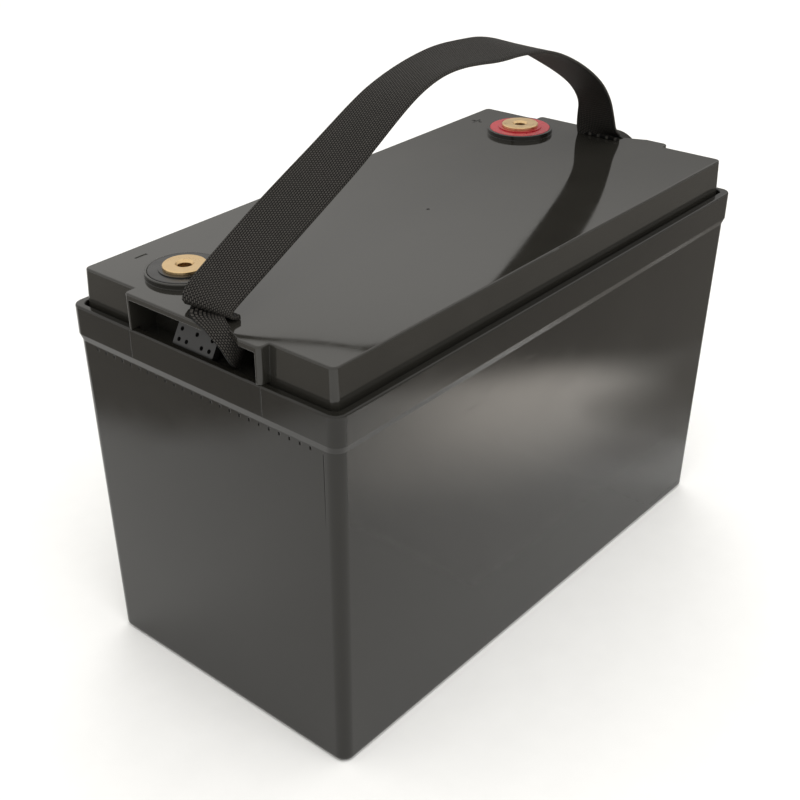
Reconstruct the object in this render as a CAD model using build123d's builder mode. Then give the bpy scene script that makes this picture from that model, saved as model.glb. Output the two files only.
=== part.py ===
"""Battery pack, 12 V 100 Ah: glossy moulded case and lid, brass terminals and a webbing carry handle.

+X runs along the long side towards the positive terminal, +Y towards the long side that both terminals
are near, +Z up. The origin is the centre of the underside. "Near" is the -X end, "far" the +X end.
"""
from build123d import *
import math
import os

os.makedirs("parts", exist_ok=True)

# --- Case and lid ---------------------------------------------------------------------------------
CASE_LENGTH = 330.0
CASE_WIDTH = 172.0
LID_HEIGHT = 214.0
RIM_HEIGHT = 196.0
BAND_BOTTOM = 181.0
BAND_CHAMFER_BOTTOM = 177.5
BASE_SIZE = (325.2, 166.0)
WALL_TOP_SIZE = (328.2, 169.8)
WALL = 2.5
FLOOR = 3.0
CASE_CORNER = 6.0
LEDGE_OPENING = (314.0, 155.0)
LEDGE_HEIGHT = 188.0
RIM_OPENING = (322.6, 163.6)
MARK_COUNT = 24
MARK_SPAN = 139.4

SEAL_THICKNESS = 0.6
LID_SEAT = LEDGE_HEIGHT + SEAL_THICKNESS
LID_BASE_SIZE = (319.6, 160.6)
LID_TOP_SIZE = (318.0, 159.0)
LID_CORNER = 3.0
LID_SKIN = 3.0
FLANGE_SIZE = (322.2, 163.2)
FLANGE_TOP = 191.0

# --- Strap pockets, one in each end of the lid ----------------------------------------------------
POCKET_HALF = 43.3
POCKET_WALL = 3.0
POCKET_FLOOR = 192.5
# the roof over the pocket is as thick as its other walls
POCKET_CEILING = LID_HEIGHT - POCKET_WALL
POCKET_SHALLOW_X = 150.0
POCKET_DEEP_X = 141.0
POCKET_DEEP_Y = 21.0
NOTCH_MOUTH = (-9.5, -29.5)
NOTCH_INNER_X = 157.5
NOTCH_INNER_END = -13.0

# --- Terminals ------------------------------------------------------------------------------------
TERMINAL_X = 133.0
TERMINAL_Y = 37.0
BOSS_RADIUS = 19.0
BOSS_TOP = 216.6
RING_SEAT = 215.6
RING_RADIUS = 17.5
CONTACT_RADIUS = 10.5
CONTACT_TOP = 219.0
CONTACT_THICKNESS = 1.6
COLLAR_RADIUS = 8.0
STEM_RADIUS = 6.0
STEM_BOTTOM = 199.0
M8_WALL_RADIUS = 3.4
M8_DEPTH = 14.0

# --- Handle ---------------------------------------------------------------------------------------
STRAP_WIDTH = 28.0
STRAP_THICKNESS = 1.8
STRAP_Y = -3.0
ARCH_NEAR_X = -110.0
ARCH_FAR_X = 146.0
ARCH_GAP = 0.3
STOP_WIDTH = 26.0
STOP_HEIGHT = 16.0
STOP_THICKNESS = 3.4
STOP_LEAN = 31.0
STOP_X = 155.5
STOP_Y = 5.0
STOP_Z = 200.6

# --- Cells and what joins them --------------------------------------------------------------------
CELL_THICKNESS = 50.0
CELL_WIDTH = 160.0
CELL_CAN_TOP = 121.5
CELL_BOTTOM = 6.0
SPACER = 1.5
CELL_PITCH = CELL_THICKNESS + SPACER
CELL_X = [CELL_PITCH * step for step in (-1.5, -0.5, 0.5, 1.5)]
POST_Y = 55.0
POST_TOP = 124.0
STUD_TOP = 135.0
BUSBAR_THICKNESS = 2.0
BOARD_SHEET_Z = 132.0
LEAD_RADIUS = 4.0
WIRE_RADIUS = 0.8


def outline(size, radius, z):
    """Rounded rectangle centred on the Z axis, at height z."""
    with BuildSketch(Plane.XY.offset(z), mode=Mode.PRIVATE) as drawing:
        RectangleRounded(size[0], size[1], radius)
    return drawing.sketch.face()


def grown(size, amount):
    """A length and width with the same amount added to both."""
    return (size[0] + amount, size[1] + amount)


def save(piece, name):
    """Label a finished piece and write it to its own file."""
    piece.part.label = name
    export_step(piece.part, f"parts/{name}.step")


# === Case: drafted box with a flanged band, a seat for the lid and a flat-topped rim ===============
with BuildPart() as case:
    loft([outline(BASE_SIZE, CASE_CORNER, 0), outline(WALL_TOP_SIZE, CASE_CORNER, BAND_CHAMFER_BOTTOM)])
    fillet(case.edges().group_by(Axis.Z)[0], 3.0)
    loft(
        [
            outline(WALL_TOP_SIZE, CASE_CORNER, BAND_CHAMFER_BOTTOM),
            outline((CASE_LENGTH, CASE_WIDTH), CASE_CORNER, BAND_BOTTOM),
        ]
    )
    extrude(outline((CASE_LENGTH, CASE_WIDTH), CASE_CORNER, BAND_BOTTOM), amount=RIM_HEIGHT - BAND_BOTTOM)
    fillet(case.edges().group_by(Axis.Z)[-1], 1.0)
    # hollow, narrowing under the ledge that the lid sits on
    inner_base = grown(BASE_SIZE, -2 * WALL)
    inner_top = grown(WALL_TOP_SIZE, -2 * WALL)
    loft(
        [outline(inner_base, CASE_CORNER - WALL, FLOOR), outline(inner_top, CASE_CORNER - WALL, BAND_CHAMFER_BOTTOM)],
        mode=Mode.SUBTRACT,
    )
    loft(
        [
            outline(inner_top, CASE_CORNER - WALL, BAND_CHAMFER_BOTTOM),
            outline(LEDGE_OPENING, CASE_CORNER - WALL, LEDGE_HEIGHT - 4.0),
        ],
        mode=Mode.SUBTRACT,
    )
    extrude(outline(LEDGE_OPENING, CASE_CORNER - WALL, LEDGE_HEIGHT - 4.0), amount=4.0, mode=Mode.SUBTRACT)
    extrude(
        outline(RIM_OPENING, LID_CORNER + 1.0, LEDGE_HEIGHT),
        amount=RIM_HEIGHT - LEDGE_HEIGHT,
        mode=Mode.SUBTRACT,
    )
    chamfer(case.faces().sort_by(Axis.Z)[-1].inner_wires().edges(), 0.4)
    # row of small venting marks under the band, and the tool's split lines
    wall_x = WALL_TOP_SIZE[0] / 2
    for end in (-1, 1):
        with GridLocations(0, MARK_SPAN / (MARK_COUNT - 1), 1, MARK_COUNT) as marks:
            spots = [(end * wall_x, place.position.Y, 176.0) for place in marks.locations]
        with Locations(*spots):
            Box(1.0, 1.1, 1.6, mode=Mode.SUBTRACT)
        with Locations((end * CASE_LENGTH / 2, -42.5, 188.5), (end * CASE_LENGTH / 2, 42.5, 188.5)):
            Box(0.4, 0.4, 14.0, mode=Mode.SUBTRACT)
        with Locations((end * (wall_x + 0.1), -77.0, 146.0)):
            Box(0.9, 0.4, 60.0, mode=Mode.SUBTRACT)
save(case, "case")


# === Lid: plateau on a flange, a strap pocket in each end, a boss round each terminal ==============
with BuildPart() as lid:
    loft([outline(LID_BASE_SIZE, LID_CORNER, LID_SEAT), outline(LID_TOP_SIZE, LID_CORNER, LID_HEIGHT)])
    for end in (-1, 1):
        with BuildSketch(Plane.XY.offset(RIM_HEIGHT + 0.1)) as housing:
            with Locations((end * (CASE_LENGTH / 2 - 10.0), 0)):
                Rectangle(20.0, 2 * POCKET_HALF)
            fillet(housing.vertices().group_by(Axis.X)[0 if end < 0 else -1], 2.5)
        extrude(amount=LID_HEIGHT - RIM_HEIGHT - 0.1)
    fillet(lid.edges().group_by(Axis.Z)[-1], 0.9)
    extrude(outline(FLANGE_SIZE, LID_CORNER + 0.8, LID_SEAT), amount=FLANGE_TOP - LID_SEAT)
    loft(
        [
            outline(grown(LID_BASE_SIZE, -2 * LID_SKIN), 1.0, LID_SEAT),
            outline(grown(LID_TOP_SIZE, -2 * LID_SKIN), 1.0, LID_HEIGHT - LID_SKIN),
        ],
        mode=Mode.SUBTRACT,
    )
    for end in (-1, 1):
        # walls, floor and back of the pocket, inside the lid
        deep_wall = POCKET_DEEP_X - POCKET_WALL
        shallow_wall = POCKET_SHALLOW_X - POCKET_WALL
        back = 159.0
        with Locations((end * (shallow_wall + back) / 2, 0, POCKET_FLOOR - POCKET_WALL)):
            Box(back - shallow_wall, 2 * POCKET_HALF, 22.0, align=(Align.CENTER, Align.CENTER, Align.MIN))
        deep_centre_y = (POCKET_DEEP_Y + POCKET_WALL - POCKET_HALF) / 2
        deep_width = POCKET_DEEP_Y + POCKET_WALL + POCKET_HALF
        with Locations((end * (deep_wall + back) / 2, deep_centre_y, POCKET_FLOOR - POCKET_WALL)):
            Box(back - deep_wall, deep_width, 22.0, align=(Align.CENTER, Align.CENTER, Align.MIN))
        # the hollow of the pocket, open through the end face
        inner_half = POCKET_HALF - POCKET_WALL
        hollow_height = POCKET_CEILING - POCKET_FLOOR
        reach = 170.0
        with Locations((end * (POCKET_SHALLOW_X + reach) / 2, 0, POCKET_FLOOR)):
            Box(
                reach - POCKET_SHALLOW_X,
                2 * inner_half,
                hollow_height,
                align=(Align.CENTER, Align.CENTER, Align.MIN),
                mode=Mode.SUBTRACT,
            )
        with Locations((end * (POCKET_DEEP_X + reach) / 2, (POCKET_DEEP_Y - inner_half) / 2, POCKET_FLOOR)):
            Box(
                reach - POCKET_DEEP_X,
                POCKET_DEEP_Y + inner_half,
                hollow_height,
                align=(Align.CENTER, Align.CENTER, Align.MIN),
                mode=Mode.SUBTRACT,
            )
        # notch in the lip, slanted on one side so that the webbing slips in
        with BuildSketch(Plane.XY.offset(POCKET_CEILING - 1.0)) as notch:
            with BuildLine():
                Polyline(
                    (end * (NOTCH_INNER_X + 10), NOTCH_MOUTH[0] + 1.4),
                    (end * (CASE_LENGTH / 2), NOTCH_MOUTH[0] + 1.4),
                    (end * (CASE_LENGTH / 2 - 1.4), NOTCH_MOUTH[0]),
                    (end * NOTCH_INNER_X, NOTCH_MOUTH[0]),
                    (end * NOTCH_INNER_X, NOTCH_INNER_END),
                    (end * (CASE_LENGTH / 2 - 1.0), NOTCH_MOUTH[1]),
                    (end * (CASE_LENGTH / 2), NOTCH_MOUTH[1] - 1.2),
                    (end * (NOTCH_INNER_X + 10), NOTCH_MOUTH[1] - 1.2),
                    close=True,
                )
            make_face()
        extrude(amount=6.0, mode=Mode.SUBTRACT)
        # boss, the seat for the coloured ring, and the terminal's hole
        with Locations((end * TERMINAL_X, TERMINAL_Y, LID_HEIGHT - 1.0)):
            Cylinder(
                BOSS_RADIUS,
                BOSS_TOP - LID_HEIGHT + 1.0,
                align=(Align.CENTER, Align.CENTER, Align.MIN),
            )
        fillet(lid.faces().sort_by(Axis.Z)[-1].edges().filter_by(GeomType.CIRCLE), 0.5)
        with Locations((end * TERMINAL_X, TERMINAL_Y, RING_SEAT)):
            Cylinder(
                RING_RADIUS + 0.1,
                2.0,
                align=(Align.CENTER, Align.CENTER, Align.MIN),
                mode=Mode.SUBTRACT,
            )
        with Locations((end * TERMINAL_X, TERMINAL_Y, LID_HEIGHT)):
            Cylinder(COLLAR_RADIUS + 0.1, 12.0, mode=Mode.SUBTRACT)
    # recessed polarity marks, minus at the near end and plus at the far end, and the gate mark
    with Locations((-TERMINAL_X, 68.5, LID_HEIGHT), (TERMINAL_X, 68.5, LID_HEIGHT)):
        Box(7.0, 1.6, 0.6, mode=Mode.SUBTRACT)
    with Locations((TERMINAL_X, 68.5, LID_HEIGHT)):
        Box(1.6, 7.0, 0.6, mode=Mode.SUBTRACT)
    with Locations((0, 0, LID_HEIGHT)):
        Cylinder(0.9, 0.6, mode=Mode.SUBTRACT)
save(lid, "lid")


# === Seal bead between the ledge and the lid's flange ==============================================
with BuildPart() as lid_seal:
    extrude(outline(grown(RIM_OPENING, -0.6), LID_CORNER, LEDGE_HEIGHT), amount=SEAL_THICKNESS)
    extrude(
        outline(grown(LEDGE_OPENING, 0.6), CASE_CORNER - WALL, LEDGE_HEIGHT),
        amount=SEAL_THICKNESS,
        mode=Mode.SUBTRACT,
    )
save(lid_seal, "lid_seal")


# === Terminals: brass bush, coloured ring, O-ring, washer and nut at each end ======================
def bush_profile(x):
    """Half section of a terminal bush, in the XZ plane, to turn about its own axis."""
    countersink = 1.1
    with BuildSketch(Plane.XZ.offset(-TERMINAL_Y), mode=Mode.PRIVATE) as half:
        with BuildLine():
            Polyline(
                (x, STEM_BOTTOM),
                (x + STEM_RADIUS, STEM_BOTTOM),
                (x + STEM_RADIUS, LID_HEIGHT - LID_SKIN + 0.5),
                (x + COLLAR_RADIUS, LID_HEIGHT - LID_SKIN + 0.5),
                (x + COLLAR_RADIUS, CONTACT_TOP - CONTACT_THICKNESS),
                (x + CONTACT_RADIUS, CONTACT_TOP - CONTACT_THICKNESS),
                (x + CONTACT_RADIUS, CONTACT_TOP - 0.35),
                (x + CONTACT_RADIUS - 0.35, CONTACT_TOP),
                (x + M8_WALL_RADIUS + countersink, CONTACT_TOP),
                (x + M8_WALL_RADIUS, CONTACT_TOP - countersink),
                (x + M8_WALL_RADIUS, CONTACT_TOP - M8_DEPTH),
                (x, CONTACT_TOP - M8_DEPTH - 1.8),
                close=True,
            )
        make_face()
    return half.sketch


for name, x in (("terminal_negative", -TERMINAL_X), ("terminal_positive", TERMINAL_X)):
    with BuildPart() as terminal:
        revolve(bush_profile(x), axis=Axis((x, TERMINAL_Y, 0), (0, 0, 1)))
    save(terminal, name)

for name, x in (("terminal_ring_negative", -TERMINAL_X), ("terminal_ring_positive", TERMINAL_X)):
    with BuildPart() as ring:
        with Locations((x, TERMINAL_Y, RING_SEAT)):
            Cylinder(RING_RADIUS, 1.2, align=(Align.CENTER, Align.CENTER, Align.MIN))
        fillet(ring.edges().group_by(Axis.Z)[-1], 0.4)
        with Locations((x, TERMINAL_Y, RING_SEAT)):
            Cylinder(12.5, 1.75, align=(Align.CENTER, Align.CENTER, Align.MIN))
            Cylinder(10.0, 3.0, align=(Align.CENTER, Align.CENTER, Align.MIN), mode=Mode.SUBTRACT)
    save(ring, name)

with BuildPart() as terminal_o_rings:
    with Locations((-TERMINAL_X, TERMINAL_Y, RING_SEAT + 0.86), (TERMINAL_X, TERMINAL_Y, RING_SEAT + 0.86)):
        Torus(9.0, 0.85)
save(terminal_o_rings, "terminal_o_rings")

WASHER_BOTTOM = LID_HEIGHT - LID_SKIN - 1.5
LUG_THICKNESS = 2.0
NUT_TOP = WASHER_BOTTOM - LUG_THICKNESS
with BuildPart() as terminal_washers:
    with Locations((-TERMINAL_X, TERMINAL_Y, WASHER_BOTTOM), (TERMINAL_X, TERMINAL_Y, WASHER_BOTTOM)):
        Cylinder(11.0, 1.5, align=(Align.CENTER, Align.CENTER, Align.MIN))
        Cylinder(COLLAR_RADIUS + 0.2, 1.5, align=(Align.CENTER, Align.CENTER, Align.MIN), mode=Mode.SUBTRACT)
save(terminal_washers, "terminal_washers")

with BuildPart() as terminal_nuts:
    for x in (-TERMINAL_X, TERMINAL_X):
        with BuildSketch(Plane.XY.offset(NUT_TOP - 5.5)):
            with Locations((x, TERMINAL_Y)):
                RegularPolygon(9.5, 6, major_radius=False)
                Circle(STEM_RADIUS + 0.05, mode=Mode.SUBTRACT)
        extrude(amount=5.5)
save(terminal_nuts, "terminal_nuts")


# === Cells: aluminium cans with two studs each, spacers, end plates, bands and foam ================
for index, x in enumerate(CELL_X):
    with BuildPart() as cell:
        with Locations((x, 0, CELL_BOTTOM)):
            Box(
                CELL_THICKNESS,
                CELL_WIDTH,
                CELL_CAN_TOP - CELL_BOTTOM,
                align=(Align.CENTER, Align.CENTER, Align.MIN),
            )
        fillet(cell.edges().filter_by(Axis.Z), 2.5)
        fillet(cell.edges().group_by(Axis.Z)[-1], 0.8)
        # burst vent, a shallow round dimple between the posts
        with Locations((x, 0, CELL_CAN_TOP)):
            Cylinder(6.0, 0.8, mode=Mode.SUBTRACT)
        for y in (-POST_Y, POST_Y):
            with Locations((x, y, CELL_CAN_TOP)):
                Cylinder(9.0, POST_TOP - CELL_CAN_TOP, align=(Align.CENTER, Align.CENTER, Align.MIN))
                Cylinder(3.0, STUD_TOP - CELL_CAN_TOP, align=(Align.CENTER, Align.CENTER, Align.MIN))
    save(cell, f"cell_{index + 1}")

SPACER_X = [(CELL_X[i] + CELL_X[i + 1]) / 2 for i in range(3)]
with BuildPart() as cell_spacers:
    with Locations(*[(x, 0, 7.0) for x in SPACER_X]):
        Box(SPACER, CELL_WIDTH - 6.0, 112.0, align=(Align.CENTER, Align.CENTER, Align.MIN))
save(cell_spacers, "cell_spacers")

STACK_HALF = CELL_X[-1] + CELL_THICKNESS / 2
END_PLATE = 3.0
with BuildPart() as end_plates:
    for end in (-1, 1):
        with Locations((end * (STACK_HALF + END_PLATE / 2), 0, 7.0)):
            Box(END_PLATE, CELL_WIDTH - 4.0, 112.0, align=(Align.CENTER, Align.CENTER, Align.MIN))
save(end_plates, "end_plates")

BAND_THICKNESS = 0.4
with BuildPart() as compression_bands:
    hug = (2 * (STACK_HALF + END_PLATE) + 0.02, CELL_WIDTH + 0.02)
    for z in (38.0, 92.0):
        extrude(outline(grown(hug, 2 * BAND_THICKNESS), 1.0, z), amount=16.0)
        extrude(outline(hug, 0.6, z), amount=16.0, mode=Mode.SUBTRACT)
save(compression_bands, "compression_bands")

with BuildPart() as base_foam:
    with Locations((0, 0, FLOOR)):
        Box(2 * STACK_HALF, 156.0, CELL_BOTTOM - FLOOR, align=(Align.CENTER, Align.CENTER, Align.MIN))
save(base_foam, "base_foam")

for name, end in (("foam_block_near", -1), ("foam_block_far", 1)):
    with BuildPart() as foam_block:
        with Locations((end * 132.5, 0, FLOOR)):
            Box(52.0, 156.0, BOARD_SHEET_Z - FLOOR, align=(Align.CENTER, Align.CENTER, Align.MIN))
        chamfer(foam_block.edges().filter_by(Axis.Z), 3.0)
    save(foam_block, name)


# === Busbars, nuts, lugs and the insulation board over the cells ===================================
BUSBAR_ENDS = [(SPACER_X[0], -POST_Y), (SPACER_X[1], POST_Y), (SPACER_X[2], -POST_Y)]
with BuildPart() as busbars:
    for x, y in BUSBAR_ENDS:
        with BuildSketch(Plane.XY.offset(POST_TOP)):
            with Locations((x, y)):
                RectangleRounded(CELL_PITCH + 20.0, 18.0, 4.0)
            with Locations((x - CELL_PITCH / 2, y), (x + CELL_PITCH / 2, y)):
                Circle(3.2, mode=Mode.SUBTRACT)
            with Locations((x, y)):
                SlotOverall(16.0, 3.0, rotation=90, mode=Mode.SUBTRACT)
        extrude(amount=BUSBAR_THICKNESS)
save(busbars, "busbars")

with BuildPart() as busbar_nuts:
    for x in CELL_X:
        for y in (-POST_Y, POST_Y):
            with BuildSketch(Plane.XY.offset(POST_TOP + BUSBAR_THICKNESS)):
                with Locations((x, y)):
                    Circle(7.0)
                    Circle(3.05, mode=Mode.SUBTRACT)
            extrude(amount=1.2)
            with BuildSketch(Plane.XY.offset(POST_TOP + BUSBAR_THICKNESS + 1.2)):
                with Locations((x, y)):
                    RegularPolygon(5.0, 6, major_radius=False)
                    Circle(3.05, mode=Mode.SUBTRACT)
            extrude(amount=4.2)
save(busbar_nuts, "busbar_nuts")

with BuildPart() as insulation_board:
    with Locations((0, 0, BOARD_SHEET_Z)):
        Box(300.0, 84.0, 2.0, align=(Align.CENTER, Align.CENTER, Align.MIN))
    fillet(insulation_board.edges().filter_by(Axis.Z), 4.0)
save(insulation_board, "insulation_board")


# === Protection board on its heat plate ============================================================
BOARD_Y = -4.0
PLATE_TOP = BOARD_SHEET_Z + 2.0 + 4.0
PCB_Z = PLATE_TOP + 8.0
PCB_THICKNESS = 1.6
STANDOFF_SPOTS = [(x, BOARD_Y + y) for x in (-68.0, 68.0) for y in (-26.0, 26.0)]
with BuildPart() as board_heat_plate:
    with Locations((0, BOARD_Y, BOARD_SHEET_Z + 2.0)):
        Box(160.0, 72.0, 4.0, align=(Align.CENTER, Align.CENTER, Align.MIN))
    fillet(board_heat_plate.edges().filter_by(Axis.Z), 3.0)
    chamfer(board_heat_plate.edges().group_by(Axis.Z)[-1], 0.6)
save(board_heat_plate, "board_heat_plate")

with BuildPart() as board_standoffs:
    with BuildSketch(Plane.XY.offset(PLATE_TOP)):
        with Locations(*STANDOFF_SPOTS):
            RegularPolygon(3.0, 6, major_radius=False)
            Circle(1.6, mode=Mode.SUBTRACT)
    extrude(amount=PCB_Z - PLATE_TOP)
save(board_standoffs, "board_standoffs")

with BuildPart() as power_transistors:
    with GridLocations(16.0, 30.0, 7, 2) as grid:
        spots = [(place.position.X, place.position.Y + BOARD_Y, PLATE_TOP) for place in grid.locations]
    with Locations(*spots):
        Box(10.0, 13.0, 4.6, align=(Align.CENTER, Align.CENTER, Align.MIN))
save(power_transistors, "power_transistors")

with BuildPart() as protection_board:
    with BuildSketch(Plane.XY.offset(PCB_Z)):
        with Locations((0, BOARD_Y)):
            RectangleRounded(148.0, 64.0, 2.0)
        with Locations(*STANDOFF_SPOTS):
            Circle(1.6, mode=Mode.SUBTRACT)
    extrude(amount=PCB_THICKNESS)
save(protection_board, "protection_board")

with BuildPart() as board_screws:
    for x, y in STANDOFF_SPOTS:
        with Locations((x, y, PCB_Z + PCB_THICKNESS)):
            Cylinder(2.8, 2.0, align=(Align.CENTER, Align.CENTER, Align.MIN))
            Cylinder(1.5, 8.0, align=(Align.CENTER, Align.CENTER, Align.MAX))
        with Locations((x, y, PCB_Z + PCB_THICKNESS + 2.0)):
            Box(4.0, 0.7, 1.2, mode=Mode.SUBTRACT)
            Box(0.7, 4.0, 1.2, mode=Mode.SUBTRACT)
save(board_screws, "board_screws")

SOCKET_X = 46.0
SOCKET_Y = BOARD_Y
SOCKET_TOP = PCB_Z + PCB_THICKNESS + 7.0
with BuildPart() as balance_socket:
    with Locations((SOCKET_X, SOCKET_Y, PCB_Z + PCB_THICKNESS)):
        Box(8.0, 20.0, 7.0, align=(Align.CENTER, Align.CENTER, Align.MIN))
    with Locations((SOCKET_X, SOCKET_Y, SOCKET_TOP)):
        Box(5.6, 17.6, 10.0, mode=Mode.SUBTRACT)
save(balance_socket, "balance_socket")

with BuildPart() as balance_plug:
    with Locations((SOCKET_X, SOCKET_Y, SOCKET_TOP - 4.8)):
        Box(5.4, 17.4, 8.0, align=(Align.CENTER, Align.CENTER, Align.MIN))
    chamfer(balance_plug.edges().group_by(Axis.Z)[-1], 0.5)
save(balance_plug, "balance_plug")


# === Lugs, leads and wires: straight runs joined by tangent arcs ===================================
CELL_BARREL_REACH = 18.0
BARREL_RADIUS = 5.4
BARREL_LENGTH = 14.0
TERMINAL_BARREL_Z = NUT_TOP - 3.0
TERMINAL_BARREL_START = 12.5
with BuildPart() as cable_lugs:
    for end in (-1, 1):
        # flat ring under the terminal's nut, with a level barrel that points inboard
        inboard = end * (TERMINAL_X - TERMINAL_BARREL_START)
        with BuildSketch(Plane.XY.offset(NUT_TOP)):
            with Locations((end * TERMINAL_X, TERMINAL_Y)):
                Circle(11.0)
                Circle(STEM_RADIUS + 0.1, mode=Mode.SUBTRACT)
            with Locations((end * (TERMINAL_X - 13.0), TERMINAL_Y)):
                Rectangle(8.0, 9.0)
        extrude(amount=LUG_THICKNESS)
        with BuildSketch(Plane((inboard, TERMINAL_Y, TERMINAL_BARREL_Z), z_dir=(-end, 0, 0))):
            Circle(BARREL_RADIUS)
        extrude(amount=BARREL_LENGTH)
        bore_start = inboard - end * 3.0
        with BuildSketch(Plane((bore_start, TERMINAL_Y, TERMINAL_BARREL_Z), z_dir=(-end, 0, 0))):
            Circle(LEAD_RADIUS + 0.02)
        extrude(amount=BARREL_LENGTH, mode=Mode.SUBTRACT)
        # flat ring on the outer cell's stud, with an upright barrel
        stud_x = end * CELL_X[3]
        barrel_x = stud_x - end * CELL_BARREL_REACH
        with BuildSketch(Plane.XY.offset(POST_TOP)):
            with Locations((stud_x, POST_Y)):
                Circle(9.6)
                Circle(3.2, mode=Mode.SUBTRACT)
            with Locations(((stud_x + barrel_x) / 2 - end * 2.0, POST_Y)):
                Rectangle(CELL_BARREL_REACH - 10.0, 9.0)
            with Locations((barrel_x, POST_Y)):
                Circle(BARREL_RADIUS)
        extrude(amount=BUSBAR_THICKNESS)
        with Locations((barrel_x, POST_Y, POST_TOP)):
            Cylinder(BARREL_RADIUS, BARREL_LENGTH + 2.0, align=(Align.CENTER, Align.CENTER, Align.MIN))
        with Locations((barrel_x, POST_Y, POST_TOP + 4.0)):
            Cylinder(
                LEAD_RADIUS + 0.02,
                BARREL_LENGTH,
                align=(Align.CENTER, Align.CENTER, Align.MIN),
                mode=Mode.SUBTRACT,
            )
save(cable_lugs, "cable_lugs")

BARREL_X = CELL_X[3] - CELL_BARREL_REACH
BARREL_BORE_Z = POST_TOP + 4.0
BORE_X = TERMINAL_X - TERMINAL_BARREL_START - 3.0
BOARD_TOP = PCB_Z + PCB_THICKNESS
LEAD_ROUTES = {
    "lead_positive": [
        (BARREL_X, POST_Y, BARREL_BORE_Z),
        (BARREL_X, POST_Y, 172.0),
        (BARREL_X + 14.0, TERMINAL_Y, TERMINAL_BARREL_Z),
        (BORE_X, TERMINAL_Y, TERMINAL_BARREL_Z),
    ],
    "lead_cell_negative": [
        (-BARREL_X, POST_Y, BARREL_BORE_Z),
        (-BARREL_X, POST_Y, 172.0),
        (-BARREL_X, 12.0, 178.0),
        (-BARREL_X, 12.0, BOARD_TOP),
    ],
    "lead_output_negative": [
        (-BARREL_X, -20.0, BOARD_TOP),
        (-BARREL_X, -20.0, 186.0),
        (-BARREL_X - 14.0, TERMINAL_Y, TERMINAL_BARREL_Z),
        (-BORE_X, TERMINAL_Y, TERMINAL_BARREL_Z),
    ],
}


def bend_radii(points):
    """Largest arc that each corner's two runs allow: 0.45 of the shorter run over tan of half the turn."""
    radii = []
    for before, corner, after in zip(points, points[1:], points[2:]):
        arriving = Vector(*corner) - Vector(*before)
        leaving = Vector(*after) - Vector(*corner)
        half_turn = math.radians(arriving.get_angle(leaving)) / 2
        radii.append(0.45 * min(arriving.length, leaving.length) / math.tan(half_turn))
    return radii


def tube(points, radius):
    """Round tube along straight runs joined by tangent arcs."""
    radii = bend_radii(points)
    with BuildLine(mode=Mode.PRIVATE) as route:
        FilletPolyline(*points, radius=radii)
    path = route.wires()[0]
    with BuildSketch(Plane(origin=path @ 0, z_dir=path % 0), mode=Mode.PRIVATE) as section:
        Circle(radius)
    made = sweep(section.sketch, path=path, mode=Mode.PRIVATE)
    print("bend radii", [round(value, 1) for value in radii], "length", round(path.length, 1))
    print("volume", round(made.volume), "expected", round(path.length * math.pi * radius**2))
    return made


for name, points in LEAD_ROUTES.items():
    with BuildPart() as lead:
        add(tube(points, LEAD_RADIUS))
    save(lead, name)

# one wire from the plug to each joint of the string, starting with the negative end
WIRE_TOP = SOCKET_TOP - 4.8 + 8.0
WIRE_ENDS = [
    (CELL_X[0] - 8.4, POST_Y),
    (SPACER_X[0] - 14.0, -POST_Y),
    (SPACER_X[1] + 14.0, POST_Y),
    (SPACER_X[2] - 14.0, -POST_Y),
    (CELL_X[3] + 8.4, POST_Y),
]
WIRE_PITCH = 3.6
# two of the wires lean outwards above the plug, which keeps them clear of the ones beside them
WIRE_STAND = 6.0
WIRE_BEND_RISE = 26.0
WIRE_LEANS = (0.0, 0.0, 8.0, 0.0, 8.0)
WIRE_DROP_Z = 152.0
with BuildPart() as balance_wires:
    for index, (x, y) in enumerate(WIRE_ENDS):
        start_y = SOCKET_Y + (2 - index) * WIRE_PITCH
        points = [(SOCKET_X, start_y, WIRE_TOP)]
        if WIRE_LEANS[index]:
            points.append((SOCKET_X, start_y, WIRE_TOP + WIRE_STAND))
        points.append((SOCKET_X + WIRE_LEANS[index], start_y, WIRE_TOP + WIRE_BEND_RISE))
        points.append((x, y, WIRE_DROP_Z))
        points.append((x, y, POST_TOP + BUSBAR_THICKNESS))
        add(tube(points, WIRE_RADIUS))
save(balance_wires, "balance_wires")

SENSOR_X = CELL_X[2] + 16.0
SENSOR_Y = 48.0
SENSOR_RISE_Z = 152.0
SENSOR_CROSS_Y = 24.0
SENSOR_CROSS_Z = 158.0
with BuildPart() as temperature_sensor:
    with Locations((SENSOR_X, SENSOR_Y, CELL_CAN_TOP)):
        Cylinder(2.6, 4.0, align=(Align.CENTER, Align.CENTER, Align.MIN))
    fillet(temperature_sensor.edges().group_by(Axis.Z)[-1], 1.2)
    add(
        tube(
            [
                (SENSOR_X, SENSOR_Y, CELL_CAN_TOP + 3.0),
                (SENSOR_X, SENSOR_Y, SENSOR_RISE_Z),
                (SENSOR_X, SENSOR_CROSS_Y, SENSOR_CROSS_Z),
                (SENSOR_X, SENSOR_CROSS_Y, BOARD_TOP),
            ],
            WIRE_RADIUS,
        )
    )
save(temperature_sensor, "temperature_sensor")


# === Handle: one webbing strap as an arch and two feet, with a stop plate on each end ==============
# centre line of the webbing seen from the long side, from the near foot over to the far foot
STRAP_LINE = [
    (-157.0, 217.4),
    (-125.0, 236.0),
    (-75.0, 261.5),
    (-27.0, 284.5),
    (10.0, 289.0),
    (56.0, 285.0),
    (100.0, 270.0),
    (134.0, 251.0),
    (151.0, 234.0),
    (157.0, 217.4),
]
with BuildPart() as whole_strap:
    with BuildSketch(Plane.XZ.offset(-(STRAP_Y + STRAP_WIDTH / 2))):
        with BuildLine():
            Spline(*STRAP_LINE)
        trace(line_width=STRAP_THICKNESS)
    extrude(amount=STRAP_WIDTH)

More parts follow.
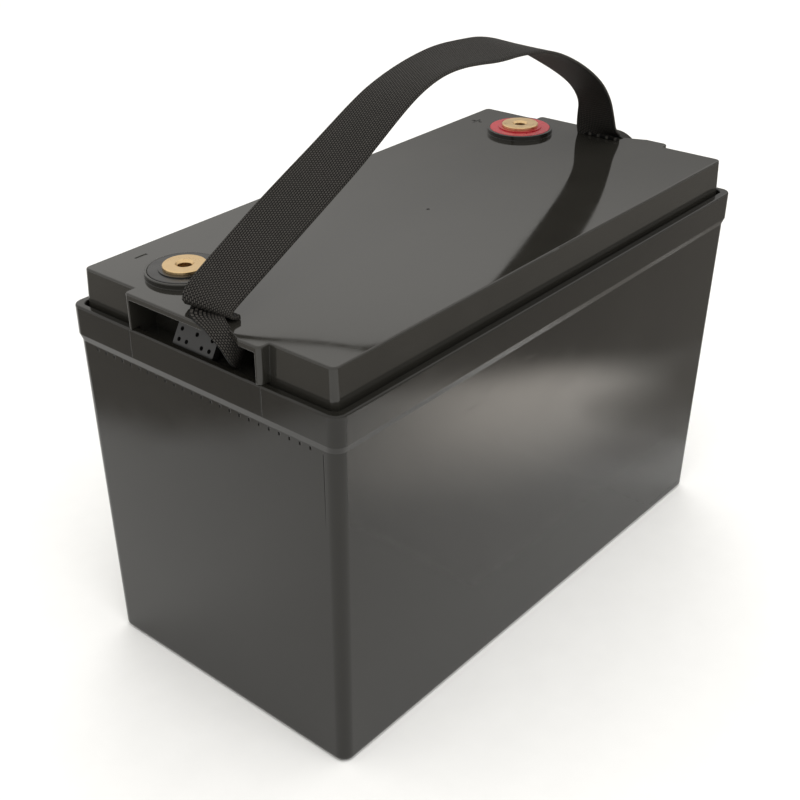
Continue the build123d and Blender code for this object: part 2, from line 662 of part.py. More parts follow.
with BuildPart() as handle_arch:
    add(whole_strap.part)
    split(bisect_by=Plane.YZ.offset(ARCH_NEAR_X + ARCH_GAP / 2), keep=Keep.TOP)
    split(bisect_by=Plane.YZ.offset(ARCH_FAR_X - ARCH_GAP / 2), keep=Keep.BOTTOM)
save(handle_arch, "handle_arch")

# each foot lies over the lid's edge, drops through the notch and turns in under the lid
TAIL_Y = (-21.0, -10.3)
TAIL_OUTER_X = 164.4
TAIL_INNER_X = 161.8
TAIL_BOTTOM = 196.6
for name, end, cut, kept in (
    ("strap_tail_near", -1, ARCH_NEAR_X - ARCH_GAP / 2, Keep.BOTTOM),
    ("strap_tail_far", 1, ARCH_FAR_X + ARCH_GAP / 2, Keep.TOP),
):
    with BuildPart() as tail:
        add(whole_strap.part)
        split(bisect_by=Plane.YZ.offset(cut), keep=kept)
        fold_top = LID_HEIGHT + 4.0
        fold_bottom = LID_HEIGHT + 1.2
        fold_y = (TAIL_Y[0], STRAP_Y + STRAP_WIDTH / 2)
        with Locations((end * (TAIL_OUTER_X + 154.5) / 2, sum(fold_y) / 2, (fold_top + fold_bottom) / 2)):
            Box(TAIL_OUTER_X - 154.5, fold_y[1] - fold_y[0], fold_top - fold_bottom)
        tail_width = TAIL_Y[1] - TAIL_Y[0]
        tail_centre = sum(TAIL_Y) / 2
        drop = fold_top - 0.5 - TAIL_BOTTOM
        with Locations((end * (TAIL_OUTER_X + TAIL_INNER_X) / 2, tail_centre, TAIL_BOTTOM)):
            Box(TAIL_OUTER_X - TAIL_INNER_X, tail_width, drop, align=(Align.CENTER, Align.CENTER, Align.MIN))
        with Locations((end * (TAIL_OUTER_X + 148.0) / 2, tail_centre, TAIL_BOTTOM)):
            Box(TAIL_OUTER_X - 148.0, tail_width, 1.8, align=(Align.CENTER, Align.CENTER, Align.MIN))
    save(tail, name)

# perforated plate moulded on the webbing's end, leaning back in the pocket
HOLE_COLUMNS = [(-2, (-1, 0, 1)), (-1, (-1, 1)), (0, (0,)), (1, (-1, 1)), (2, (-1, 0, 1))]
HOLE_PITCH = (4.9, 4.9)
for name, end in (("strap_stop_near", -1), ("strap_stop_far", 1)):
    lean = math.radians(STOP_LEAN)
    facing = (end * math.cos(lean), 0, math.sin(lean))
    face_plane = Plane(origin=(end * (STOP_X - 0.7), STOP_Y, STOP_Z), x_dir=(0, 1, 0), z_dir=facing)
    with BuildPart() as stop:
        with BuildSketch(face_plane):
            RectangleRounded(STOP_WIDTH, STOP_HEIGHT, 1.2)
            with Locations(*[(c * HOLE_PITCH[0], r * HOLE_PITCH[1]) for c, rows in HOLE_COLUMNS for r in rows]):
                Circle(1.05, mode=Mode.SUBTRACT)
        extrude(amount=STOP_THICKNESS / 2, both=True)
    save(stop, name)
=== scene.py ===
"""Battery pack in a black moulded case with a carry strap: looks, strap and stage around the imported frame."""
import math

import bpy
from bpy.props import FloatProperty, FloatVectorProperty, PointerProperty
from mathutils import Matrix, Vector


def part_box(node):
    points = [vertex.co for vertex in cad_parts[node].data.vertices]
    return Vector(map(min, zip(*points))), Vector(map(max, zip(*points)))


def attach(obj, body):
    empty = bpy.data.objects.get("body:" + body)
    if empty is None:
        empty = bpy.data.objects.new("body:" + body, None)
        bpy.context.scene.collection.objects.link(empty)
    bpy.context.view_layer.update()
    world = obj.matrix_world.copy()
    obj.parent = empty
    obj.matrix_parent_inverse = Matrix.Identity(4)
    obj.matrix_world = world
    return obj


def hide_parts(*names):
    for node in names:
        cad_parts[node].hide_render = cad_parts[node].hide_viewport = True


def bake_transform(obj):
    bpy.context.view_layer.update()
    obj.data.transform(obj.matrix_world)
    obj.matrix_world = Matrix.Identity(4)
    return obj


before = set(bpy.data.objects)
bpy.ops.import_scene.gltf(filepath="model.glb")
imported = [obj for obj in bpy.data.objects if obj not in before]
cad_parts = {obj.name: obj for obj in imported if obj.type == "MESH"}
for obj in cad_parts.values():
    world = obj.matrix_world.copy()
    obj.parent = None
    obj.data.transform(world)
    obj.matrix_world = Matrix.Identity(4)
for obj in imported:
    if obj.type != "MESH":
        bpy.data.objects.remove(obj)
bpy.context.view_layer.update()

bl_info = {
    "name": "Battery Pack Builder",
    "version": (1, 0, 0),
    "blender": (4, 5, 0),
    "location": "View3D > Sidebar > Battery Pack",
    "description": "Finishes a battery pack: moulded case, brass terminals, webbing handle and inside parts",
    "category": "Object",
}

MM = 0.001
# a wave texture at scale 1 repeats every pi / 10 units
WAVE_UNIT = math.pi / 10

# webbing: the pitch of its picks along the strap and of its ends across it
PICK_MM = 1.45
END_MM = 1.15
# length of one face of the strap's mesh, short enough to follow the folds
STRAP_STEP = 1.6 * MM
STRAP_ROWS = 14
# how far the camera's frame is moved so that the pack sits in it as it should
FRAME_SHIFT = (0.0882, 0.0681)
# the slow bend of the plastic's skin, and how deep it is
CASE_WAVE_MM = 75
CASE_WAVE_DEPTH_MM = 0.16
LID_WAVE_MM = 90
LID_WAVE_DEPTH_MM = 0.12


# === Small helpers ==================================================================================
def linear(code):
    """Turn an sRGB hex colour into the linear colour that shaders take."""
    channels = [int(code[i : i + 2], 16) / 255 for i in (1, 3, 5)]
    return [c / 12.92 if c <= 0.04045 else ((c + 0.055) / 1.055) ** 2.4 for c in channels] + [1.0]


def add(tree, kind, settings=None, links=None):
    """Add one node, set its sockets or properties, and link other nodes' outputs into it."""
    made = tree.nodes.new(kind)
    for key, value in (settings or {}).items():
        if isinstance(key, str) and hasattr(made, key):
            setattr(made, key, value)
        else:
            made.inputs[key].default_value = value
    for key, source in (links or {}).items():
        tree.links.new(source, made.inputs[key])
    return made


def start_material(name, **values):
    """An empty material with one shader, whose plain sockets are set straight away."""
    material = bpy.data.materials.new(name)
    material.use_nodes = True
    tree = material.node_tree
    tree.nodes.clear()
    shader = add(tree, "ShaderNodeBsdfPrincipled", {k.replace("_", " "): v for k, v in values.items()})
    add(tree, "ShaderNodeOutputMaterial", links={"Surface": shader.outputs[0]})
    return material, tree, shader


def give(names, material):
    """Put a finish on CAD nodes."""
    for name in names:
        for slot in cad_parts[name].material_slots:
            slot.material = material


# === Finishes =======================================================================================
def plain_finish(name, light, dark, rough, metallic=0.0, grain_mm=0.8, depth_mm=0.01, patch_mm=18.0,
                 stretch=(1.0, 1.0, 1.0)):
    """Finish whose colour and gloss drift in patches and whose surface has one grain."""
    material, tree, shader = start_material(name, Metallic=metallic, IOR=1.5)
    place = add(tree, "ShaderNodeTexCoord")
    turned = add(tree, "ShaderNodeMapping", {"Scale": stretch}, {"Vector": place.outputs["Object"]})
    patches = add(tree, "ShaderNodeTexNoise", {"Scale": 1 / (patch_mm * MM), "Detail": 4.0, "Roughness": 0.6},
                  {"Vector": turned.outputs[0]})
    grain = add(tree, "ShaderNodeTexNoise", {"Scale": 1 / (grain_mm * MM), "Detail": 3.0},
                {"Vector": turned.outputs[0]})
    shade = add(tree, "ShaderNodeMix", {"data_type": "RGBA", 6: linear(dark), 7: linear(light)},
                {0: patches.outputs[0]})
    # gloss drifts this far either side of its usual value
    spread = 0.06
    gloss = add(tree, "ShaderNodeMapRange", {1: 0.3, 2: 0.7, 3: rough - spread, 4: rough + spread},
                {0: patches.outputs[0]})
    bump = add(tree, "ShaderNodeBump", {"Strength": 1.0, "Distance": depth_mm * MM},
               {"Height": grain.outputs[0]})
    tree.links.new(shade.outputs[2], shader.inputs["Base Color"])
    tree.links.new(gloss.outputs[0], shader.inputs["Roughness"])
    tree.links.new(bump.outputs[0], shader.inputs["Normal"])
    return material


def moulded_abs(name, code, rough, shine, wave_mm, wave_depth_mm):
    """Black ABS, injection moulded in a polished tool: mirror-like, but the walls are never quite flat.

    That gives the eye reflections that bend slowly, a very fine orange peel and faint rubbed patches.
    """
    material, tree, shader = start_material(name, IOR=1.53, Specular_IOR_Level=shine)
    place = add(tree, "ShaderNodeTexCoord")
    waves = add(tree, "ShaderNodeTexNoise", {"Scale": 1 / (wave_mm * MM), "Detail": 1.0, "Roughness": 0.3},
                {"Vector": place.outputs["Object"]})
    # orange peel about a millimetre across, and rubbed patches of a few centimetres
    peel = add(tree, "ShaderNodeTexNoise", {"Scale": 1 / (1.1 * MM), "Detail": 2.0},
               {"Vector": place.outputs["Object"]})
    rubs = add(tree, "ShaderNodeTexNoise", {"Scale": 1 / (34 * MM), "Detail": 6.0, "Roughness": 0.65},
               {"Vector": place.outputs["Object"]})
    # handling scratches: noise about 33 mm long and 1 mm apart, cut so high that only thin crests are
    # left; coarser than real ones, so that they show
    lines = add(tree, "ShaderNodeMapping", {"Rotation": (0.3, 0.5, 0.7), "Scale": (30.0, 900.0, 300.0)},
                {"Vector": place.outputs["Object"]})
    scratches = add(tree, "ShaderNodeTexNoise", {"Scale": 1.0, "Detail": 2.0}, {"Vector": lines.outputs[0]})
    cut = add(tree, "ShaderNodeMapRange", {1: 0.68, 2: 0.78, 3: 0.0, 4: 0.10}, {0: scratches.outputs[0]})
    worn = add(tree, "ShaderNodeMapRange", {1: 0.35, 2: 0.75, 3: rough, 4: rough + 0.07},
               {0: rubs.outputs[0]})
    gloss = add(tree, "ShaderNodeMath", {"operation": "ADD"}, {0: worn.outputs[0], 1: cut.outputs[0]})
    rubbed = [1.6 * c for c in linear(code)[:3]] + [1.0]
    shade = add(tree, "ShaderNodeMix", {"data_type": "RGBA", 6: linear(code), 7: rubbed},
                {0: rubs.outputs[0]})
    rounded = add(tree, "ShaderNodeBevel", {"samples": 4, "Radius": 0.5 * MM})
    bent = add(tree, "ShaderNodeBump", {"Strength": 1.0, "Distance": wave_depth_mm * MM},
               {"Height": waves.outputs[0], "Normal": rounded.outputs[0]})
    bump = add(tree, "ShaderNodeBump", {"Strength": 1.0, "Distance": 0.0008 * MM},
               {"Height": peel.outputs[0], "Normal": bent.outputs[0]})
    tree.links.new(shade.outputs[2], shader.inputs["Base Color"])
    tree.links.new(gloss.outputs[0], shader.inputs["Roughness"])
    tree.links.new(bump.outputs[0], shader.inputs["Normal"])
    return material


def turned_brass(code, centre):
    """Brass turned on a lathe: fine rings about the terminal's own axis, and a warm uneven tarnish."""
    material, tree, shader = start_material("turned_brass", Metallic=1.0)
    place = add(tree, "ShaderNodeTexCoord")
    parts = add(tree, "ShaderNodeSeparateXYZ", links={0: place.outputs["Object"]})
    # both terminals stand the same distance out, so one ring pattern serves the pair
    side = add(tree, "ShaderNodeMath", {"operation": "ABSOLUTE"}, {0: parts.outputs[0]})
    across = add(tree, "ShaderNodeMath", {"operation": "SUBTRACT", 1: centre[0]}, {0: side.outputs[0]})
    along = add(tree, "ShaderNodeMath", {"operation": "SUBTRACT", 1: centre[1]}, {0: parts.outputs[1]})
    flat = add(tree, "ShaderNodeCombineXYZ", links={0: across.outputs[0], 1: along.outputs[0]})
    # tool rings every 0.35 mm, coarser than a real finishing cut so that they show
    rings = add(tree, "ShaderNodeTexWave",
                {"wave_type": "RINGS", "rings_direction": "SPHERICAL", "Scale": WAVE_UNIT / (0.35 * MM),
                 "Distortion": 0.6, "Detail": 1.0}, {"Vector": flat.outputs[0]})
    stain = add(tree, "ShaderNodeTexNoise", {"Scale": 1 / (5 * MM), "Detail": 5.0, "Roughness": 0.7},
                {"Vector": place.outputs["Object"]})
    shade = add(tree, "ShaderNodeMix", {"data_type": "RGBA", 6: linear("#c9a673"), 7: linear(code)},
                {0: stain.outputs[0]})
    gloss = add(tree, "ShaderNodeMapRange", {1: 0.3, 2: 0.7, 3: 0.24, 4: 0.42}, {0: stain.outputs[0]})
    rounded = add(tree, "ShaderNodeBevel", {"samples": 4, "Radius": 0.3 * MM})
    bump = add(tree, "ShaderNodeBump", {"Strength": 0.5, "Distance": 0.01 * MM},
               {"Height": rings.outputs[0], "Normal": rounded.outputs[0]})
    tree.links.new(shade.outputs[2], shader.inputs["Base Color"])
    tree.links.new(gloss.outputs[0], shader.inputs["Roughness"])
    tree.links.new(bump.outputs[0], shader.inputs["Normal"])
    return material


def woven_webbing(code, painted_glint_code, pick_mm, warp_mm):
    """Black polypropylene webbing, plain woven from flat shiny yarns.

    That gives the eye staggered short floats with dark gaps, and a pale glint painted into the colour on each
    crown.
    """
    material, tree, shader = start_material("woven_polypropylene", IOR=1.49, Specular_IOR_Level=0.12)
    flat = add(tree, "ShaderNodeUVMap", {"uv_map": "UVMap"})
    bricks = add(tree, "ShaderNodeTexBrick",
                 {"offset": 0.5, "Scale": 1.0, "Mortar Size": 0.26 * MM, "Mortar Smooth": 1.0,
                  "Brick Width": pick_mm * MM, "Row Height": warp_mm * MM,
                  "Color1": linear("#070707"), "Color2": linear(code), "Mortar": linear("#020202")},
                 {"Vector": flat.outputs[0]})
    fuzz = add(tree, "ShaderNodeTexNoise", {"Scale": 1 / (0.6 * MM), "Detail": 3.0},
               {"Vector": flat.outputs[0]})
    # a paler colour painted on the crown of each pick and broken up by the fuzz: a painted glint standing in
    # for the yarn's shine
    crown = add(tree, "ShaderNodeMapRange", {1: 0.12, 2: 0.0, 3: 0.0, 4: 1.0}, {0: bricks.outputs["Fac"]})
    glint = add(tree, "ShaderNodeMath", {"operation": "MULTIPLY"}, {0: crown.outputs[0], 1: fuzz.outputs[0]})
    shade = add(tree, "ShaderNodeMix", {"data_type": "RGBA", 7: linear(painted_glint_code)},
                {0: glint.outputs[0], 6: bricks.outputs["Color"]})
    height = add(tree, "ShaderNodeMath", {"operation": "SUBTRACT", 0: 1.0}, {1: bricks.outputs["Fac"]})
    bump = add(tree, "ShaderNodeBump", {"Strength": 1.0, "Distance": 0.16 * MM},
               {"Height": height.outputs[0]})
    gloss = add(tree, "ShaderNodeMapRange", {1: 0.2, 2: 0.8, 3: 0.42, 4: 0.72}, {0: fuzz.outputs[0]})
    tree.links.new(shade.outputs[2], shader.inputs["Base Color"])
    tree.links.new(gloss.outputs[0], shader.inputs["Roughness"])
    tree.links.new(bump.outputs[0], shader.inputs["Normal"])
    return material


# === What a user would change =======================================================================
class StageSettings(bpy.types.PropertyGroup):
    """Floor, light and camera."""

    floor_size: FloatProperty(name="Floor size", description="Side of the square floor", default=60.0,
                              unit="LENGTH")
    air_light: FloatProperty(name="Air light", description="Strength of the even light all round",
                             default=1.0)
    camera_place: FloatVectorProperty(name="Camera place", description="Where the camera stands",
                                      default=(-0.47928, -0.37839, 0.44817), unit="LENGTH", precision=5)
    camera_turn: FloatVectorProperty(name="Camera turn", description="Camera rotation about X, Y and Z",
                                     default=[math.radians(a) for a in (57.9925, 1.5174, -47.5565)],
                                     subtype="EULER")
    lens: FloatProperty(name="Lens", description="Focal length", default=56.37, unit="CAMERA")


class HousingSettings(bpy.types.PropertyGroup):
    """Moulded case and lid."""

    plastic: FloatProperty(name="Gloss roughness", description="How blurred the plastic's reflections are",
                           default=0.09, min=0.0, max=1.0)


class StrapSettings(bpy.types.PropertyGroup):
    """Woven carry strap."""

    width: FloatProperty(name="Strap width", description="Width of the webbing", default=0.028,
                         unit="LENGTH")
    thickness: FloatProperty(name="Strap thickness", description="Thickness of the webbing",
                             default=0.0016, unit="LENGTH")
    tail_share: FloatProperty(name="Gathered share",
                              description="Share of its width the strap has in its notch",
                              default=0.39, min=0.1, max=1.0)


# === Stage ==========================================================================================
def reflector(name, place, size, glow, edge_mm, edge, sway):
    """A card that only shows in gloss: a pale one lifts a reflection, a dark one holds it back.

    glow is its brightness, edge the share of its half size over which it fades, and sway how far
    its outline wanders, in waves edge_mm long.
    """
    bpy.ops.object.select_all(action="DESELECT")
    bpy.ops.mesh.primitive_plane_add(size=2.0, location=(0, 0, 0))
    card = bpy.context.object
    card.name = name
    bpy.ops.object.mode_set(mode="EDIT")
    bpy.ops.mesh.select_all(action="SELECT")
    bpy.ops.transform.resize(value=(size[0], size[1], 1.0))
    bpy.ops.transform.translate(value=place)
    bpy.ops.object.mode_set(mode="OBJECT")
    material = bpy.data.materials.new(name)
    material.use_nodes = True
    tree = material.node_tree
    tree.nodes.clear()
    where = add(tree, "ShaderNodeTexCoord")
    ripple = add(tree, "ShaderNodeTexNoise", {"Scale": 1 / (edge_mm * MM), "Detail": 1.0},
                 {"Vector": where.outputs["Object"]})
    shake = add(tree, "ShaderNodeVectorMath", {"operation": "SCALE", "Scale": sway},
                {0: ripple.outputs["Color"]})
    # the noise runs from 0 to 1, so half the sway is taken off to keep the card where it was put
    to_middle = [-place[axis] / size[axis] - 0.5 * sway for axis in (0, 1)] + [0.0]
    centred = add(tree, "ShaderNodeMapping",
                  {"Location": to_middle, "Scale": (1 / size[0], 1 / size[1], 0.0)},
                  {"Vector": where.outputs["Object"]})
    moved = add(tree, "ShaderNodeVectorMath", {"operation": "ADD"},
                {0: centred.outputs[0], 1: shake.outputs[0]})
    fall = add(tree, "ShaderNodeTexGradient", {"gradient_type": "SPHERICAL"}, {"Vector": moved.outputs[0]})
    soft = add(tree, "ShaderNodeMapRange",
               {"interpolation_type": "SMOOTHSTEP", 1: 0.0, 2: edge, 3: 0.0, 4: 1.0},
               {0: fall.outputs["Fac"]})
    clear = add(tree, "ShaderNodeBsdfTransparent")
    light = add(tree, "ShaderNodeEmission", {"Color": linear("#fff8ee"), "Strength": glow})
    mixed = add(tree, "ShaderNodeMixShader",
                links={0: soft.outputs[0], 1: clear.outputs[0], 2: light.outputs[0]})
    add(tree, "ShaderNodeOutputMaterial", links={"Surface": mixed.outputs[0]})
    card.data.materials.append(material)
    card.visible_camera = False
    card.visible_diffuse = False
    card.visible_shadow = False


class BATTERY_OT_stage(bpy.types.Operator):
    """Pale floor, soft even light and the camera"""

    bl_idname = "battery.stage"
    bl_label = "Stage"

    def execute(self, context):
        look = context.scene.battery_stage
        bpy.ops.object.select_all(action="DESELECT")
        bpy.ops.mesh.primitive_plane_add(size=look.floor_size, location=(0, 0, -0.0002))
        floor = context.object
        floor.name = "floor"
        # rolled matt paper: hardly any gloss, so that little more than the pack's shadow shows on it
        material = plain_finish("matt_white_paper", "#f7f7f6", "#f2f2f1", 0.8, grain_mm=3, depth_mm=0.01)
        floor.data.materials.append(material)

        world = bpy.data.worlds.new("studio_air")
        world.use_nodes = True
        air = world.node_tree
        background = air.nodes["Background"]
        background.inputs[0].default_value = linear("#fdfbf7")
        # gloss sees a room that is darker low down beyond the far end, which is what the lid mirrors
        # there; every other ray finds the same air all round
        aim = add(air, "ShaderNodeTexCoord")
        rise = add(air, "ShaderNodeVectorMath", {"operation": "DOT_PRODUCT", 1: (-0.45, 0.0, 1.6)},
                   {0: aim.outputs["Generated"]})
        glow = add(air, "ShaderNodeMapRange",
                   {"interpolation_type": "SMOOTHSTEP", 1: 0.02, 2: 0.40, 3: 0.34 * look.air_light,
                    4: 1.07 * look.air_light}, {0: rise.outputs["Value"]})
        ray = add(air, "ShaderNodeLightPath")
        strength = add(air, "ShaderNodeMix", {"data_type": "FLOAT", 2: look.air_light},
                       {0: ray.outputs["Is Glossy Ray"], 3: glow.outputs[0]})
        air.links.new(strength.outputs[0], background.inputs[1])
        context.scene.world = world
        for name, place, turn, size, power in (
            ("key_softbox", (-0.5, -0.7, 1.7), (24, -14, 0), 1.4, 14.0),
            ("fill_softbox", (1.2, 1.0, 1.6), (-32, 34, 0), 1.2, 6.0),
        ):
            bpy.ops.object.light_add(type="AREA", location=place, rotation=[math.radians(a) for a in turn])
            lamp = context.object
            lamp.name = name
            lamp.data.size = size
            lamp.data.energy = power
            lamp.visible_glossy = False

        # what the walls mirror: a pale card in the middle of the long side, and dark cards around it
        # and beyond the short side
        reflector("pale_card", (0.195, -0.232, 0.003), (0.21, 0.115, 1.0), 3.0, 120, 0.9, 0.3)
        reflector("dark_card_long", (0.632, -0.729, 0.006), (0.68, 0.68, 1.0), 0.36, 260, 0.07, 0.10)
        reflector("dark_card_right", (0.29, -0.135, 0.004), (0.17, 0.07, 1.0), 0.42, 60, 0.7, 0.5)
        reflector("dark_card_short", (-0.45, 0.36, 0.004), (0.20, 0.25, 1.0), 0.44, 90, 0.2, 0.3)

        bpy.ops.object.camera_add(location=look.camera_place, rotation=look.camera_turn)
        camera = context.object
        camera.data.lens = look.lens
        camera.data.sensor_width = 36.0
        camera.data.shift_x, camera.data.shift_y = FRAME_SHIFT
        context.scene.camera = camera
        context.scene.view_settings.view_transform = "Standard"
        return {"FINISHED"}


# === Housing and terminals ==========================================================================
class BATTERY_OT_housing(bpy.types.Operator):
    """Case, lid and the bead that seals them"""

    bl_idname = "battery.housing"
    bl_label = "Housing"

    def execute(self, context):
        rough = context.scene.battery_housing.plastic
        # the case takes a darker colour and a lower shine than the lid: painted shade, so that its walls read
        # darker than the lid's top
        shaded_case_skin = moulded_abs("moulded_black_abs_case_shaded", "#151411", rough, 0.34,
                                CASE_WAVE_MM, CASE_WAVE_DEPTH_MM)
        give(["case"], shaded_case_skin)
        # the lid's tool has the finer polish, so what it mirrors is sharper
        lid_skin = moulded_abs("moulded_black_abs_lid", "#201f1c", 0.5 * rough, 0.42,
                               LID_WAVE_MM, LID_WAVE_DEPTH_MM)
        give(["lid"], lid_skin)
        # sealant run in and left to cure: a soft, slightly rippled shine
        give(["lid_seal"], plain_finish("cured_black_sealant", "#1a1a1a", "#0b0b0b", 0.45, grain_mm=1.5))
        # nylon from an eroded tool: satin, with a fine even grain
        nylon = plain_finish("moulded_black_nylon", "#232323", "#181818", 0.34, grain_mm=0.5, depth_mm=0.01)
        give(["strap_stop_near", "strap_stop_far"], nylon)
        return {"FINISHED"}


class BATTERY_OT_terminals(bpy.types.Operator):
    """Brass terminals, their coloured rings and the hardware under them"""

    bl_idname = "battery.terminals"
    bl_label = "Terminals"

    def execute(self, context):
        low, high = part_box("terminal_positive")
        centre = (low + high) / 2
        give(["terminal_positive", "terminal_negative"], turned_brass("#ecd2a6", centre))
        # PVC rings: a low shine, a little uneven in patches
        red = plain_finish("moulded_red_pvc", "#b82733", "#8f1c27", 0.3, grain_mm=0.7, depth_mm=0.02,
                           patch_mm=9)
        give(["terminal_ring_positive"], red)
        black = plain_finish("moulded_black_pvc", "#242424", "#191919", 0.3, grain_mm=0.7, depth_mm=0.02,
                             patch_mm=9)
        give(["terminal_ring_negative"], black)
        # moulded rubber: dull, with a dusty grain
        give(["terminal_o_rings"], plain_finish("nitrile_rubber", "#1c1c1c", "#0d0d0d", 0.6, grain_mm=0.3))
        # bright zinc: a bluish shine that clouds in small patches
        zinc = plain_finish("zinc_plated_steel", "#d2d6d8", "#a9b0b6", 0.3, metallic=1.0, grain_mm=0.4,
                            patch_mm=6)
        give(["terminal_washers", "terminal_nuts"], zinc)
        return {"FINISHED"}


# === Strap ==========================================================================================
# from under the near fold up over the pack to the far foot: x, y, z in millimetres, then the lean in
# degrees and the share of the strap's width
STRAP_ROUTE = [
    (-151.5, -5, 216, 0, 1.0),
    (-154, -5, 216, 0, 1.0),
    (-156.5, -5, 216, 2, 1.0),
    (-158.5, -5, 219, 6, 1.0),
    (-156, -5, 222, 9, 1.0),
    (-150, -5, 225.5, 11, 1.0),
    (-133, -5, 234, 13, 1.0),
    (-111, -4, 244, 15, 1.0),
    (-90, -4, 254, 14, 1.0),
    (-71, -4, 263, 12, 1.0),
    (-42, -4, 278.5, 5, 1.0),
    (-28, -4, 284, 1, 1.0),
    (-14, -4, 287.5, 0, 1.0),
    (0, -4, 289, 3, 1.0),
    (16, -4, 289, 9, 1.0),
    (33, -5, 287.5, 12, 1.0),
    (51, -5, 286.5, 9, 1.0),
    (74, -6, 281.5, 0, 1.0),
    (101, -6, 269, -4, 1.0),
    (125, -6, 255, 0, 1.0),
    (139, -6, 243, 9, 1.0),
    (146, -6, 232, 15, 1.0),
    (149, -5, 223.5, 9, 1.0),
    (152, -4.5, 218.5, -4, 0.97),
    (154.5, -4, 214.5, -20, 0.88),
]
# full width under the near fold, then gathered slantwise into the notch, down it and in beside the stop plate
END_ROUTE = [
    (-151, -5, 215, 0, 2.45),
    (-154, -5, 215, 0, 2.35),
    (-157, -5.5, 215, 0, 1.75),
    (-160, -9, 215, 8, 1.15),
    (-162, -14, 214.5, 20, 0.9),
    (-163, -18.5, 212, 26, 0.85),
    (-162.5, -22.5, 209, 20, 0.85),
    (-161.5, -24, 205, 10, 0.85),
    (-159.5, -24, 201, 0, 0.85),
    (-155.5, -21.5, 198.5, 0, 0.85),
    (-150.5, -17, 198, 0, 0.85),
]


def ribbon(name, route, width, thickness, turned=1, lean_share=1.0):
    """A flat woven band: a grid laid along a smooth line, then given its thickness and soft edges.

    turned is 1 for the near end and -1 for the far one, which is its mirror image, and lean_share is
    how much of the route's lean the band takes.
    """
    bpy.ops.object.select_all(action="DESELECT")
    bpy.ops.curve.primitive_nurbs_path_add()
    path = bpy.context.object
    path.location = (0, 0, 0)
    path.data.splines.clear()
    spline = path.data.splines.new("NURBS")
    spline.points.add(len(route) - 1)
    for point, (x, y, z, lean, share) in zip(spline.points, route):
        point.co = (turned * x * MM, y * MM, z * MM, 1.0)
        point.tilt = math.radians(lean_share * lean)
        point.radius = share
    spline.order_u = 3
    spline.use_endpoint_u = True
    spline.resolution_u = 16
    path.data.resolution_u = 16
    path.data.use_radius = True
    path.data.twist_mode = "MINIMUM"
    line = bpy.data.meshes.new_from_object(path)
    ends = [[line.vertices[corner].co for corner in edge.vertices] for edge in line.edges]
    length = sum((first - second).length for first, second in ends)
    bpy.data.meshes.remove(line)

    bpy.ops.object.select_all(action="DESELECT")
    bpy.ops.mesh.primitive_grid_add(x_subdivisions=int(length / STRAP_STEP), y_subdivisions=STRAP_ROWS,
                                    size=1.0, location=(0, 0, 0))
    band = bpy.context.object
    band.name = name
    bpy.ops.object.mode_set(mode="EDIT")
    bpy.ops.mesh.select_all(action="SELECT")
    bpy.ops.transform.resize(value=(length, width, 1.0))
    bpy.ops.transform.translate(value=(length / 2, 0, 0))
    bpy.ops.object.mode_set(mode="OBJECT")
    for corner in band.data.uv_layers["UVMap"].data:
        corner.uv = (corner.uv[0] * length, corner.uv[1] * width)
    follow = band.modifiers.new("follow", "CURVE")
    follow.object = path
    follow.deform_axis = "POS_X"
    bpy.ops.object.modifier_apply(modifier="follow")
    thick = band.modifiers.new("thick", "SOLIDIFY")
    thick.thickness = thickness
    thick.offset = 0.0
    bpy.ops.object.modifier_apply(modifier="thick")
    soft = band.modifiers.new("soft", "BEVEL")
    soft.width = 0.3 * thickness
    soft.segments = 2
    soft.limit_method = "ANGLE"
    bpy.ops.object.modifier_apply(modifier="soft")
    bpy.ops.object.shade_smooth()
    bpy.data.objects.remove(path)
    return band


class BATTERY_OT_strap(bpy.types.Operator):
    """Webbing strap over the pack and its two gathered ends"""

    bl_idname = "battery.strap"
    bl_label = "Strap"

    def execute(self, context):
        look = context.scene.battery_strap
        # the second colour is the painted glint on the crowns of the weave
        webbing = woven_webbing("#0b0b0a", "#53504c", PICK_MM, END_MM)
        strap = ribbon("handle_strap", STRAP_ROUTE, look.width, look.thickness)
        strap.data.materials.append(webbing)
        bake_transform(strap)
        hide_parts("handle_arch")
        for name, node, turned, lean_share in (
            ("strap_end_near", "strap_tail_near", 1, 1.0),
            ("strap_end_far", "strap_tail_far", -1, 0.0),
        ):
            tail = ribbon(name, END_ROUTE, look.tail_share * look.width, look.thickness, turned, lean_share)
            tail.data.materials.append(webbing)
            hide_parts(node)
            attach(tail, "feet")
        return {"FINISHED"}


